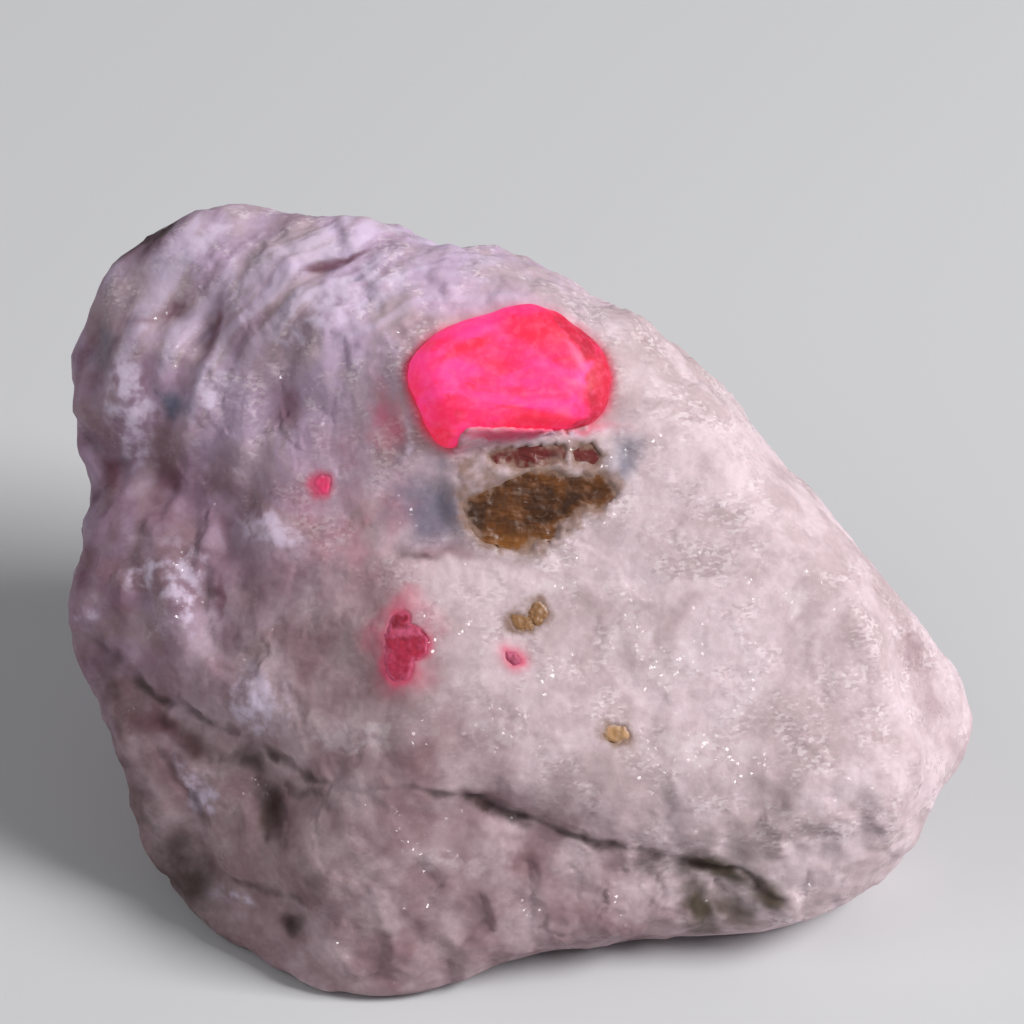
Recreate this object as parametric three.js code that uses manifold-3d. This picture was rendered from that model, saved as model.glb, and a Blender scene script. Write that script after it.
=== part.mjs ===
// A raw ruby crystal in its marble matrix, with the brown mica and the small ruby grains that grew beside it.
// Millimetres, +Z up, standing on the flat break underneath, with the origin below the middle of its box.
// Everything is shaped face on, in the display face's frame: x to the right, y up the face, z out of it.
// The whole specimen is then leant back, until that face looks up by FACE_RISE.

import * as THREE from "three";
import { ConvexGeometry } from "three/addons/geometries/ConvexGeometry.js";
import { ImprovedNoise } from "three/addons/math/ImprovedNoise.js";
import { mergeVertices } from "three/addons/utils/BufferGeometryUtils.js";
import Module from "manifold-3d";

const wasm = await Module();
wasm.setup();

// ---- The marble's driving dimensions ----

const FACE_RISE = 40; // degrees above level that the display face looks
const BASE_DROP = 15.6; // from the middle of the face frame down to the flat base
const FRONT_DEPTH = 14; // from the rim out to the fullest part of the face
const BACK_DEPTH = 24; // from the rim back to the fullest part of the back
const SQUARENESS = 3.2; // 2 is an ellipsoid, and more has a flatter face and squarer rim
const EDGE_ROUND = 0.9; // how far a broken edge is worn round
const FACE_FROM = 0; // the face's relief begins this far out from the rim,
const FACE_FULL = 6; // and is at its full height from here on

// The vertices lie evenly on a ball, which is then drawn towards the face and spread out to its rim.
const ROCK_DETAIL = 18;
const FACE_BIAS = 0.25;
const FACE_SPREAD = 0.5;
const BACK_SPREAD = 0.85;

// The rim of the rock, as seen face on.
const RIM = [
  [-18.9, 25.9], [-14.3, 24.8], [-8.0, 24.4], [-6.0, 22.9], [-1.2, 22.6], [2.0, 20.9],
  [5.0, 19.3], [7.7, 17.9], [10.1, 16.4], [13.6, 13.3], [17.1, 8.5], [18.8, 7.0],
  [22.3, 2.8], [26.4, -2.3], [29.1, -6.5], [28.4, -10.2], [26.9, -13.1], [25.2, -16.0],
  [21.6, -19.3], [18.2, -21.0], [13.7, -21.6], [8.5, -21.6], [2.0, -22.3], [-2.1, -23.4],
  [-5.9, -25.4], [-9.8, -26.2], [-14.3, -25.0], [-17.8, -23.1], [-20.4, -21.0], [-23.1, -18.2],
  [-25.1, -14.0], [-25.9, -9.1], [-28.1, -4.4], [-29.1, -2.0], [-28.4, 2.6], [-27.8, 7.2],
  [-28.9, 11.7], [-29.1, 16.3], [-27.5, 19.7], [-25.9, 22.5], [-24.3, 24.5], [-21.9, 25.5],
];

// The flat breaks that shape the rock: the way each one faces, and how far out it lies.
const BREAKS = [
  { faces: [0.06, 0.04, 1], reach: 12.4 }, // the main face, round the crystal
  { faces: [-0.42, 0.05, 1], reach: 14.4 }, // turns away to the left
  { faces: [-0.12, 0.55, 1], reach: 18.0 }, // the banded top
  { faces: [0.05, -0.46, 1], reach: 16.0 }, // below the long crease
  { faces: [-0.8, -0.55, 1], reach: 22.0 }, // the low left shoulder
  { faces: [1.1, 0.25, 1], reach: 22.4 }, // the strip down the right edge
  { faces: [0.75, 0.75, 1], reach: 19.6 }, // a narrow bevel up the right
  { faces: [0.2, 0.7, -0.7], reach: 17.4 }, // the main break behind
  { faces: [0.45, 0.75, -0.5], reach: 18.0 }, // behind the right shoulder
  { faces: [-0.2, 0.6, -0.77], reach: 20.2 }, // behind the top left
  { faces: [-0.62, 0.3, -0.72], reach: 23.4 },
  { faces: [0.7, 0.25, -0.67], reach: 19.6 },
  { faces: [0.45, -0.3, -0.84], reach: 19.4 },
  { faces: [-0.3, -0.1, -0.95], reach: 21.0 },
  { faces: [-0.65, -0.45, -0.6], reach: 23.8 },
];

// The creases: [x, y, step] along each one, with the rock on its right hand stepping back by that much.
const CREASES = [
  [ // the long one, under the main face from rim to rim
    [-29.0, -2.0, 0.9], [-25.6, -3.4, 1.3], [-24.2, -5.6, 1.5], [-21.6, -6.6, 1.6], [-16.6, -8.9, 1.6],
    [-13.8, -10.5, 1.3], [-11.3, -11.6, 0.8], [-7.6, -11.6, 0.5], [-5.0, -12.0, 0.5], [-2.5, -12.5, 0.8],
    [0.0, -13.4, 1.0], [5.0, -15.0, 0.8], [11.2, -16.6, 1.0], [13.8, -17.0, 1.0], [17.2, -19.5, 0.5],
  ],
  [ // drops from it, down the left of the lower lobe
    [-17.1, -9.0, 0.1], [-16.3, -10.6, 0.8], [-15.4, -12.1, 1.1], [-15.0, -13.7, 0.9], [-14.2, -15.2, 0.1],
  ],
  [ // the low left ledge, curling round under the lobe
    [-23.4, -8.8, 0.1], [-21.8, -11.4, 1.0], [-20.1, -13.6, 1.3], [-20.3, -16.0, 1.4], [-18.6, -17.6, 1.1],
    [-14.5, -18.6, 0.8], [-12.0, -19.3, 0.1],
  ],
  [ // above the notch in the left rim
    [-28.6, 11.4, 1.6], [-26.9, 9.5, 1.8], [-25.6, 8.7, 1.4], [-24.5, 10.4, 0.8], [-23.5, 12.6, 0.1],
  ],
  [[-25.2, 9.0, 0.8], [-27.1, 7.2, 1.6], [-28.4, 4.5, 1.6]], // and below it
  [[-17.3, 19.8, 0.1], [-18.9, 18.5, 0.8], [-19.8, 16.6, 1.0], [-20.9, 13.6, 0.1]],
  [[-20.2, 19.9, 0.1], [-22.6, 19.1, 0.8], [-24.9, 18.2, 1.1], [-26.1, 16.6, 1.0], [-27.2, 14.6, 0.1]],
  [[-16.6, 9.4, 0.1], [-16.9, 6.5, 0.7], [-18.0, 5.4, 1.0], [-18.3, 3.5, 0.8], [-19.7, 2.3, 0.1]],
  [[-19.1, -3.4, 0.1], [-19.8, -1.6, 0.7], [-19.9, 0.4, 0.8], [-20.1, 3.0, 0.1]],
];
const CREASE_GROOVE = 0.45; // depth of the groove along a crease, as a share of its step
const CREASE_WIDTH = 1.1;
const STEP_BLUR = 0.45; // how sharply the rock steps back
const STEP_FADE = 5; // how far below a crease its step has died away

// Lumps and pits on the face: where, how wide and how high.
const SWELLS = [
  { x: -24.5, y: 16.0, wide: 5.5, high: 1.2 }, // the upper left lobe
  { x: -24.8, y: 3.0, wide: 4.5, high: 1.1 }, // the lobe below the notch
  { x: -22.0, y: 9.0, wide: 2.8, high: -1.0 },
  { x: -13.0, y: 20.5, wide: 4.0, high: 0.6 },
  { x: -14.8, y: 12.6, wide: 2.2, high: -0.5 },
  { x: -12.0, y: 6.0, wide: 5.5, high: -0.6 },
  { x: -6.5, y: 19.5, wide: 3.5, high: 0.5 },
  { x: 1.3, y: 6.8, wide: 6.5, high: -0.6 }, // the mica lies in a shallow hollow
  { x: -6.0, y: 6.0, wide: 2.6, high: -0.7 },
  { x: -21.2, y: -0.5, wide: 2.0, high: 0.6 },
  { x: -22.5, y: -13.5, wide: 1.6, high: 0.8 },
  { x: -14.2, y: -20.2, wide: 1.2, high: -0.9 }, // a small pit
  { x: -8.5, y: -18.0, wide: 6.5, high: 0.9 }, // the full lower lobe
  { x: 12.0, y: -19.6, wide: 2.2, high: -1.0 },
  { x: 20.5, y: -15.8, wide: 2.4, high: -0.7 },
  { x: 21.5, y: -11.0, wide: 4.0, high: 0.5 },
  { x: 12.5, y: 3.0, wide: 6.0, high: 0.4 },
];

// The bands that sweep round the upper left are rings about a point on the face.
const BANDS = { centre: [-1.5, 4.5], spacing: 3.4, high: 0.3, from: 14, full: 18, waver: 1.6, waverSize: 7 };
const BANDS_CORNER = { from: 14, full: 24 }; // how far into the upper left corner, as y - x

// The roughness of a broken surface, as noise of several sizes.
const FACE_ROUGHNESS = [{ size: 9, high: 0.45 }, { size: 4.2, high: 0.25 }];
const BACK_ROUGHNESS = [{ size: 9, high: 0.9 }, { size: 5.6, high: 0.6 }, { size: 4.2, high: 0.4 }];
const RIM_CALM = 0.3; // the share of it at the rim, whose outline is drawn

// ---- The crystals' driving dimensions ----

const SEAT_GAP = 0.25; // between a crystal and its socket

const RUBY_AT = [-0.6, 14.5];
const RUBY_TILT = [-13, 3, 0]; // degrees, to lie along the marble round it
const RUBY_GIRDLE = [
  [-6.8, -0.2], [-5.6, 1.8], [-3.4, 3.1], [0.9, 4.5], [2.2, 4.4], [5.2, 2.4], [6.4, 0.6],
  [6.5, -1.2], [5.7, -3.1], [3.0, -3.7], [-2.4, -4.0], [-3.9, -4.5], [-4.9, -4.1], [-6.4, -1.6],
];
const RUBY_TABLE = [
  [-5.2, -0.1], [-4.3, 1.2], [-2.7, 2.2], [0.9, 3.5], [1.9, 3.2], [4.0, 1.0], [4.1, -1.6],
  [2.6, -2.9], [-2.0, -3.1], [-3.9, -3.0],
];
// The crystal's corners lie in rings, from its table down to its keel. The end ones move out as it grows.
const RUBY_RINGS = [
  { outline: RUBY_TABLE, share: 1, z: 2, moves: 1 },
  { outline: RUBY_GIRDLE, share: 1, z: 0.3, moves: 0 },
  { outline: RUBY_GIRDLE, share: 0.97, z: -1, moves: 0 },
  { outline: RUBY_GIRDLE, share: 0.68, z: -3.8, moves: -1 },
];

// The mica book's sheets, from the top down: their two ends, height on the face and how far they stand out.
const MICA_AT = [0.7, 6.9];
const MICA_TILT = [0, 2, 3];
const MICA_SHEETS = [
  { left: -3.3, right: 4.3, y: 2.55, proud: 0.15 },
  { left: -4.3, right: 4.9, y: 1.8, proud: 0.45 },
  { left: -4.5, right: 5.3, y: 1.05, proud: 0.1 },
  { left: -4.5, right: 5.6, y: 0.3, proud: 0.5 },
  { left: -4.6, right: 5.5, y: -0.45, proud: 0.25 },
  { left: -4.5, right: 4.6, y: -1.2, proud: 0.6 },
  { left: -4.2, right: 2.9, y: -1.95, proud: 0.3 },
  { left: -3.5, right: 2.0, y: -2.7, proud: 0.5 },
  { left: -2.2, right: 0.9, y: -3.4, proud: 0.2 },
];
const MICA_THICKNESS = 0.8; // a little over the sheets' spacing, so that they are one book
const MICA_DEPTHS = [4.2, 3.9]; // sheets take these in turn
const MICA_CHIPS = [0.45, 0.7, 0.95]; // what is broken off a sheet's right front corner, in turn
const MICA_LEFT_CHIP = [0.7, 0.5];
const MICA_BACK_CHIP = 1.4;

// The small grains: where each lobe lies on the face, its half sizes across, up and out, and its turn.
const GRAINS = [
  {
    name: "ruby_grain_left",
    mineral: "ruby",
    lobes: [{ at: [-12.5, 7.4], size: [0.65, 0.6, 0.6], turn: 10 }],
  },
  {
    name: "ruby_grain_cluster",
    mineral: "ruby",
    lobes: [
      { at: [-7.5, -0.9], size: [0.7, 0.55, 0.8], turn: 20 },
      { at: [-6.9, -2.5], size: [1.3, 1.25, 1.1], turn: 30 },
      { at: [-7.6, -3.9], size: [1.0, 1.1, 1.0], turn: 0 },
      { at: [-7.9, -2.2], size: [0.55, 1.4, 0.8], turn: -8 },
    ],
  },
  {
    name: "ruby_grain_centre",
    mineral: "ruby",
    lobes: [{ at: [-0.5, -3.3], size: [0.75, 0.45, 0.5], turn: -35 }],
  },
  {
    name: "mica_grain_upper",
    mineral: "mica",
    lobes: [
      { at: [0.1, -1.2], size: [0.9, 0.6, 0.6], turn: -35 },
      { at: [1.1, -0.6], size: [0.7, 0.9, 0.6], turn: 10 },
    ],
  },
  {
    name: "mica_grain_lower",
    mineral: "mica",
    lobes: [{ at: [5.9, -8.1], size: [0.95, 0.6, 0.6], turn: -8 }],
  },
];
const GRAIN_SINK = 0.35; // of a grain's half size that its middle lies below the surface
const GRAIN_DETAIL = 1;

const FINISHES = {
  marble: { color: 0xcfc0c5, roughness: 0.7, metalness: 0 },
  ruby: { color: 0xf5386f, roughness: 0.25, metalness: 0, emissive: 0x5a0620 },
  mica: { color: 0x5c3a1c, roughness: 0.45, metalness: 0 },
};

// ---- Solids ----

const solidOf = (geometry) => {
  const bare = geometry.clone();
  bare.deleteAttribute("normal");
  bare.deleteAttribute("uv");
  const merged = mergeVertices(bare, 1e-4);
  return new wasm.Manifold(new wasm.Mesh({
    numProp: 3,
    vertProperties: merged.attributes.position.array,
    triVerts: new Uint32Array(merged.index.array),
  }));
};

const geometryOf = (solid) => {
  const { vertProperties, triVerts } = solid.getMesh();
  const geometry = new THREE.BufferGeometry();
  geometry.setAttribute("position", new THREE.BufferAttribute(vertProperties, 3));
  geometry.setIndex(new THREE.BufferAttribute(triVerts, 1));
  geometry.computeVertexNormals();
  return geometry;
};

const unionOf = (geometries) => geometryOf(wasm.Manifold.union(geometries.map(solidOf)));

const total = (list, amount) => list.reduce((sum, item) => sum + amount(item), 0);

// ---- The marble ----

const noise = new ImprovedNoise();
const noiseAt = (point, size) => noise.noise(point.x / size + size, point.y / size, point.z / size - size);

// The smaller of two lengths, with the corner between them rounded over.
const softMin = (a, b, round) => {
  const share = Math.max(round - Math.abs(a - b), 0) / round;
  return Math.min(a, b) - (share * share * round) / 4;
};

// How far the rim is from the middle of the face, along the direction (x, y).
const rimRadius = (x, y) => {
  for (let i = 0; i < RIM.length; i++) {
    const [ax, ay] = RIM[i];
    const [bx, by] = RIM[(i + 1) % RIM.length];
    const turn = x * (by - ay) - y * (bx - ax);
    const share = (ax * y - ay * x) / turn;
    const radius = (ax * by - ay * bx) / turn;
    if (share > -1e-9 && share < 1 + 1e-9 && radius > 0) return radius;
  }
  throw new Error("the rim has a gap");
};

const breaks = BREAKS.map(({ faces, reach }) => ({ normal: new THREE.Vector3(...faces).normalize(), reach }));

// The whole rock before its relief: a squared-off pebble with this rim, broken off along the planes.
const rockRadius = (way) => {
  const across = Math.hypot(way.x, way.y);
  const rim = across > 1e-6 ? rimRadius(way.x / across, way.y / across) : 1;
  const depth = way.z > 0 ? FRONT_DEPTH : BACK_DEPTH;
  const fullness = (across / rim) ** SQUARENESS + (Math.abs(way.z) / depth) ** SQUARENESS;
  let radius = fullness ** (-1 / SQUARENESS);
  for (const { normal, reach } of breaks) {
    const facing = normal.dot(way);
    if (facing > 0) radius = softMin(radius, reach / facing, EDGE_ROUND);
  }
  return radius;
};

// The nearest place on a crease: how far (x, y) is above it, less than 0 below, and the step there.
const nearestOn = (crease, x, y) => {
  let found = { above: Infinity, step: 0 };
  for (let i = 0; i + 1 < crease.length; i++) {
    const [ax, ay, stepA] = crease[i];
    const [bx, by, stepB] = crease[i + 1];
    const along = ((x - ax) * (bx - ax) + (y - ay) * (by - ay)) / ((bx - ax) ** 2 + (by - ay) ** 2);
    const share = THREE.MathUtils.clamp(along, 0, 1);
    const distance = Math.hypot(x - ax - share * (bx - ax), y - ay - share * (by - ay));
    if (distance < Math.abs(found.above)) {
      const side = Math.sign((bx - ax) * (y - ay) - (by - ay) * (x - ax));
      found = { above: side * distance, step: stepA + share * (stepB - stepA) };
    }
  }
  return found;
};

const creaseRelief = (crease, x, y) => {
  const { above, step } = nearestOn(crease, x, y);
  const groove = CREASE_GROOVE * Math.exp(-((above / CREASE_WIDTH) ** 2));
  const stepped = Math.exp(Math.min(above, 0) / STEP_FADE) / (1 + Math.exp(above / STEP_BLUR));
  return -step * (groove + stepped);
};

const swellRelief = (swell, x, y) =>
  swell.high * Math.exp(-((x - swell.x) ** 2 + (y - swell.y) ** 2) / swell.wide ** 2);

const bandRelief = (point) => {
  const radius = Math.hypot(point.x - BANDS.centre[0], point.y - BANDS.centre[1]);
  const started = THREE.MathUtils.smoothstep(radius, BANDS.from, BANDS.full);
  const cornered = THREE.MathUtils.smoothstep(point.y - point.x, BANDS_CORNER.from, BANDS_CORNER.full);
  const wavering = radius + BANDS.waver * noiseAt(point, BANDS.waverSize);
  return BANDS.high * started * cornered * Math.sin((2 * Math.PI * wavering) / BANDS.spacing);
};

// How far the face is raised at a point, straight out of the face.
const raised = (point) => {
  const creased = total(CREASES, (crease) => creaseRelief(crease, point.x, point.y));
  const swollen = total(SWELLS, (swell) => swellRelief(swell, point.x, point.y));
  return creased + swollen + bandRelief(point);
};

const roughness = (point, onFace) => {
  const front = total(FACE_ROUGHNESS, ({ size, high }) => high * noiseAt(point, size));
  const back = total(BACK_ROUGHNESS, ({ size, high }) => high * noiseAt(point, size));
  const offRim = THREE.MathUtils.smoothstep(Math.abs(point.z), FACE_FROM, FACE_FULL);
  return THREE.MathUtils.lerp(back, front, onFace) * THREE.MathUtils.lerp(RIM_CALM, 1, offRim);
};

const rockGeometry = () => {
  const ball = new THREE.IcosahedronGeometry(1, ROCK_DETAIL);
  ball.deleteAttribute("normal");
  ball.deleteAttribute("uv");
  const rock = mergeVertices(ball, 1e-5);
  const place = rock.attributes.position;
  const way = new THREE.Vector3();
  for (let i = 0; i < place.count; i++) {
    way.fromBufferAttribute(place, i).normalize();
    way.z += FACE_BIAS;
    way.normalize();
    way.z *= way.z > 0 ? FACE_SPREAD : BACK_SPREAD;
    way.normalize();
    const point = way.clone().multiplyScalar(rockRadius(way));
    const onFace = THREE.MathUtils.smoothstep(point.z, FACE_FROM, FACE_FULL);
    const out = onFace * raised(point);
    point.addScaledVector(way, roughness(point, onFace));
    point.z += out;
    place.setXYZ(i, point.x, point.y, point.z);
  }
  return rock;
};

const leanBack = new THREE.Matrix4().makeRotationX(THREE.MathUtils.degToRad(90 - FACE_RISE));

// Broken off flat underneath, on the plane that the specimen stands on.
const cutBase = (rock) => {
  const up = new THREE.Vector3(0, 0, 1).applyMatrix4(leanBack.clone().invert());
  return rock.trimByPlane([up.x, up.y, up.z], -BASE_DROP);
};

// ---- The crystals, each in a frame of its own with z out of the face ----

const growOut = ([x, y], grow) => {
  const reach = Math.hypot(x, y);
  return [x * (1 + grow / reach), y * (1 + grow / reach)];
};

const rubyGeometry = (grow) => {
  const corners = RUBY_RINGS.flatMap(({ outline, share, z, moves }) => outline.map((corner) => {
    const [x, y] = growOut(corner, grow);
    return new THREE.Vector3(x * share, y * share, z + moves * grow);
  }));
  return new ConvexGeometry(corners);
};

// One sheet of mica, with broken corners, drawn from above and then laid on edge.
const micaSheet = ({ left, right, y, proud }, grow, index) => {
  const chip = MICA_CHIPS[index % MICA_CHIPS.length];
  const [leftChip, leftDrop] = MICA_LEFT_CHIP;
  const [l, r, front] = [left - grow, right + grow, proud + grow];
  const back = -MICA_DEPTHS[index % MICA_DEPTHS.length] - grow;
  const outline = new THREE.Shape([
    new THREE.Vector2(l, back + MICA_BACK_CHIP),
    new THREE.Vector2(l + MICA_BACK_CHIP, back),
    new THREE.Vector2(r - MICA_BACK_CHIP, back),
    new THREE.Vector2(r, back + MICA_BACK_CHIP),
    new THREE.Vector2(r, front - chip),
    new THREE.Vector2(r - chip, front),
    new THREE.Vector2(l + leftChip, front),
    new THREE.Vector2(l, front - leftDrop),
  ]);
  const thickness = MICA_THICKNESS + 2 * grow;
  const sheet = new THREE.ExtrudeGeometry(outline, { depth: thickness, bevelEnabled: false });
  return sheet.rotateX(Math.PI / 2).translate(0, y + thickness / 2, 0);
};

const micaGeometry = (grow) => unionOf(MICA_SHEETS.map((sheet, index) => micaSheet(sheet, grow, index)));

const grainLobe = ({ at, size, turn, out }, grow) => {
  const lobe = new THREE.IcosahedronGeometry(1, GRAIN_DETAIL);
  lobe.scale(size[0] + grow, size[1] + grow, size[2] + grow);
  lobe.rotateZ(THREE.MathUtils.degToRad(turn));
  return lobe.translate(at[0], at[1], out);
};

// ---- Assembly ----

const finishOf = (mineral) => new THREE.MeshStandardMaterial({ ...FINISHES[mineral], flatShading: true });

const wholeRock = new THREE.Mesh(rockGeometry(), finishOf("marble"));
const probe = new THREE.Raycaster();
const surfaceAt = (x, y) => {
  probe.set(new THREE.Vector3(x, y, 2 * FRONT_DEPTH), new THREE.Vector3(0, 0, -1));
  return probe.intersectObject(wholeRock)[0].point.z;
};

// A crystal in its place on the face, and the socket that it sits in. shape(grow) makes it that much larger.
const seat = (name, mineral, shape, place = [0, 0, 0], tilt = [0, 0, 0]) => {
  const mesh = new THREE.Mesh(shape(0), finishOf(mineral));
  mesh.name = name;
  mesh.position.set(...place);
  mesh.rotation.set(...tilt.map(THREE.MathUtils.degToRad));
  mesh.updateMatrix();
  return { mesh, socket: solidOf(shape(SEAT_GAP).applyMatrix4(mesh.matrix)) };
};

const seatGrain = ({ name, mineral, lobes }) => {
  const sunk = lobes.map((lobe) => ({ ...lobe, out: surfaceAt(...lobe.at) - GRAIN_SINK * lobe.size[2] }));
  return seat(name, mineral, (grow) => unionOf(sunk.map((lobe) => grainLobe(lobe, grow))));
};

const seated = [
  seat("ruby_crystal", "ruby", rubyGeometry, [...RUBY_AT, surfaceAt(...RUBY_AT)], RUBY_TILT),
  seat("mica_book", "mica", micaGeometry, [...MICA_AT, surfaceAt(...MICA_AT)], MICA_TILT),
  ...GRAINS.map(seatGrain),
];

const socketed = seated.reduce((rock, { socket }) => rock.subtract(socket), solidOf(wholeRock.geometry));
const marble = new THREE.Mesh(geometryOf(cutBase(socketed)), finishOf("marble"));
marble.name = "marble_matrix";

const face = new THREE.Group();
face.add(marble, ...seated.map(({ mesh }) => mesh));
face.applyMatrix4(leanBack);

// The origin goes under the middle of the box, on the base.
const specimen = new THREE.Group();
specimen.add(face);
specimen.updateMatrixWorld(true);
const box = new THREE.Box3().setFromObject(specimen, true);
const middle = box.getCenter(new THREE.Vector3());
face.position.set(-middle.x, -middle.y, -box.min.z);

export default specimen;
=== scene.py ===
# %% [markdown]
# # A raw ruby crystal in marble
#
# A fingertip of ruby sits in a hand-sized piece of the marble that it grew in, over a book of brown mica.
# The solids give the sizes. This notebook gives them the look of the real thing: sugary broken calcite,
# a glassy crystal that glows pinkish red, and flaky mica. Everything is in metres, in the solids' own frame.

# %% The frame
import math

import bmesh
import bpy
from mathutils import Matrix, Vector, noise
from mathutils.bvhtree import BVHTree
from mathutils.kdtree import KDTree


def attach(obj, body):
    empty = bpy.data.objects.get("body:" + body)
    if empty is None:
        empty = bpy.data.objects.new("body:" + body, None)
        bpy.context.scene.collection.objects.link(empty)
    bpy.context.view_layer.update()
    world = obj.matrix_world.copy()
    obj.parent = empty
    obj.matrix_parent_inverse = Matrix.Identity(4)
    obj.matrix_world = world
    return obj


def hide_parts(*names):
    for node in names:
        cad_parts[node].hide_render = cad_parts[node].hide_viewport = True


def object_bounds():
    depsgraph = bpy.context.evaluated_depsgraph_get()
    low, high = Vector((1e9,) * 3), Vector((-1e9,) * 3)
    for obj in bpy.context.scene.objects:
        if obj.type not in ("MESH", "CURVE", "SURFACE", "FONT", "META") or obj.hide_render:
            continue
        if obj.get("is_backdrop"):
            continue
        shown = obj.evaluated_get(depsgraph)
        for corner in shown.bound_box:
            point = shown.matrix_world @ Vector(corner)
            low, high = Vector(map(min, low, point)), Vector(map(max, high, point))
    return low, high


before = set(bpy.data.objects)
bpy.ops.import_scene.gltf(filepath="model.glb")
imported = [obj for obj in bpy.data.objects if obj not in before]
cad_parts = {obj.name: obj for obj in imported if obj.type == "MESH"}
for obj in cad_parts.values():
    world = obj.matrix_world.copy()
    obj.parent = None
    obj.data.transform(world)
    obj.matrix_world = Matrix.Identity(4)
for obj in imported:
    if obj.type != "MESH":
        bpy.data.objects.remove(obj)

solid_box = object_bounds()
WAVER_SEED = 4
noise.seed_set(WAVER_SEED)  # or the wavering edges would lie elsewhere in each run
print("solids:", sorted(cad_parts))

# %% [markdown]
# ## The face's own frame
#
# A specimen is read face on, so its pieces are easier to shape in the display face's own frame: x to the
# right, y up the face and z out of it, in millimetres. One matrix leads from there to the standing piece.
# The vertices are moved by it at the very end, so that each finished object stays at the origin, unturned.

# %% The face's own frame
MM = 0.001
FACE_RISE = math.radians(40)  # above level that the display face looks
FACE_MIDDLE = Vector((-0.1, 0.907, 15.6)) * MM  # where the face frame's own origin stands
to_standing = (
    Matrix.Translation(FACE_MIDDLE)
    @ Matrix.Rotation(math.pi / 2 - FACE_RISE, 4, "X")
    @ Matrix.Scale(MM, 4)
)
to_face = to_standing.inverted()
UP = (to_face.to_3x3() @ Vector((0, 0, 1))).normalized()
FLOOR_DROP = FACE_MIDDLE.z / MM
MERGED = 0.002  # the corners of loose triangles lie nearer than this

def height_over_floor(point):
    return UP.dot(point) + FLOOR_DROP

def ease(value, low, high):
    """0 below low, 1 above high, and a smooth ramp between them."""
    share = min(max((value - low) / (high - low), 0), 1)
    return share * share * (3 - 2 * share)

def placed(name, data):
    """A new object, linked into the scene."""
    thing = bpy.data.objects.new(name, data)
    bpy.context.scene.collection.objects.link(thing)
    return thing

def placed_mesh(name, form):
    mesh = bpy.data.meshes.new(name)
    form.to_mesh(mesh)
    form.free()
    return placed(name, mesh)

def face_copy(node):
    """A copy of a solid in the face's frame, with its loose triangles merged."""
    copy = bmesh.new()
    copy.from_mesh(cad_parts[node].data)
    bmesh.ops.transform(copy, matrix=to_face, verts=copy.verts)
    bmesh.ops.remove_doubles(copy, verts=copy.verts, dist=MERGED)
    return copy

def finished_piece(name, form, node):
    """Stands a shaped bmesh up as a smooth-shaded piece in place of a solid, which it hides."""
    bmesh.ops.transform(form, matrix=to_standing, verts=form.verts)
    for face in form.faces:
        face.smooth = True
    piece = placed_mesh(name, form)
    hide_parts(node)
    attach(piece, "root")
    print(name, len(piece.data.polygons), "faces")
    return piece

print("the face looks", round(math.degrees(FACE_RISE)), "degrees up")

# %% [markdown]
# ## The camera
#
# Close-up pictures of small specimens are taken from a little way off with a long lens, which keeps the
# far rim from shrinking away. This one looks square at the display face.

# %% The camera
CAMERA_DISTANCE = 300
VIEW_WIDTH = 66.56
VIEW_MIDDLE = Vector((-0.52, 5.72, 0))
SENSOR = 36

camera_data = bpy.data.cameras.new("camera")
camera_data.sensor_width = SENSOR
camera_data.lens = SENSOR * CAMERA_DISTANCE / VIEW_WIDTH
camera_data.clip_start = 0.01
camera = placed("camera", camera_data)
bpy.context.scene.camera = camera
camera.location = to_standing @ (VIEW_MIDDLE + Vector((0, 0, CAMERA_DISTANCE)))
looking = (to_standing @ VIEW_MIDDLE) - camera.location
camera.rotation_euler = looking.to_track_quat("-Z", "Y").to_euler()
print("lens", round(camera_data.lens), "mm")

# %% [markdown]
# ## Rounding a crystal
#
# The ruby's solid already has its planes. Rounding its edges with a bevel and cutting it fine lets the
# surface carry dents and growth lines. A subdivision modifier would round it too, but it rounds a wide face
# as much as a narrow one, so the planes would go.

# %% Rounding a crystal
FLAT_FOLD = 0.02  # radians that two faces of one plane may differ by
MELTED = 0.01  # vertices nearer than this melt into one
LONG_EDGE = 1.5  # times the mesh size, and what is longer is cut
MOST_CUTS = 4

def relax(form, rounds, verts=None, factor=0.5):
    """Evens out a form's vertices, or some of them, which also takes its edges off."""
    for _ in range(rounds):
        bmesh.ops.smooth_vert(
            form, verts=form.verts if verts is None else verts, factor=factor,
            use_axis_x=True, use_axis_y=True, use_axis_z=True,
        )

def cut(form, edges):
    """Cuts edges in two, and the faces beside them into triangles."""
    bmesh.ops.subdivide_edges(form, edges=edges, cuts=1, use_grid_fill=True)
    bmesh.ops.triangulate(form, faces=form.faces)

def fine_copy(node, edge_round, mesh_size, smoothing):
    """A solid's copy with rounded edges, cut into triangles of about a size."""
    form = face_copy(node)
    flat = [edge for edge in form.edges if edge.is_manifold and edge.calc_face_angle() < FLAT_FOLD]
    bmesh.ops.dissolve_edges(form, edges=flat, use_verts=True)
    bmesh.ops.bevel(
        form, geom=form.edges, offset=edge_round, segments=3, profile=0.5, affect="EDGES",
        clamp_overlap=True, material=-1,
    )
    bmesh.ops.remove_doubles(form, verts=form.verts, dist=MELTED)
    bmesh.ops.triangulate(form, faces=form.faces)
    for _ in range(MOST_CUTS):
        cut(form, [edge for edge in form.edges if edge.calc_length() > mesh_size * LONG_EDGE])
    relax(form, smoothing)
    bmesh.ops.recalc_face_normals(form, faces=form.faces)
    form.normal_update()
    return form

def shift_out(form, height):
    """Moves every vertex along its normal by what height says of its place."""
    moves = [vert.normal * height(vert.co) for vert in form.verts]
    for vert, move in zip(form.verts, moves):
        vert.co += move
    form.normal_update()

print("corners melt within", MELTED, "mm")

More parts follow.
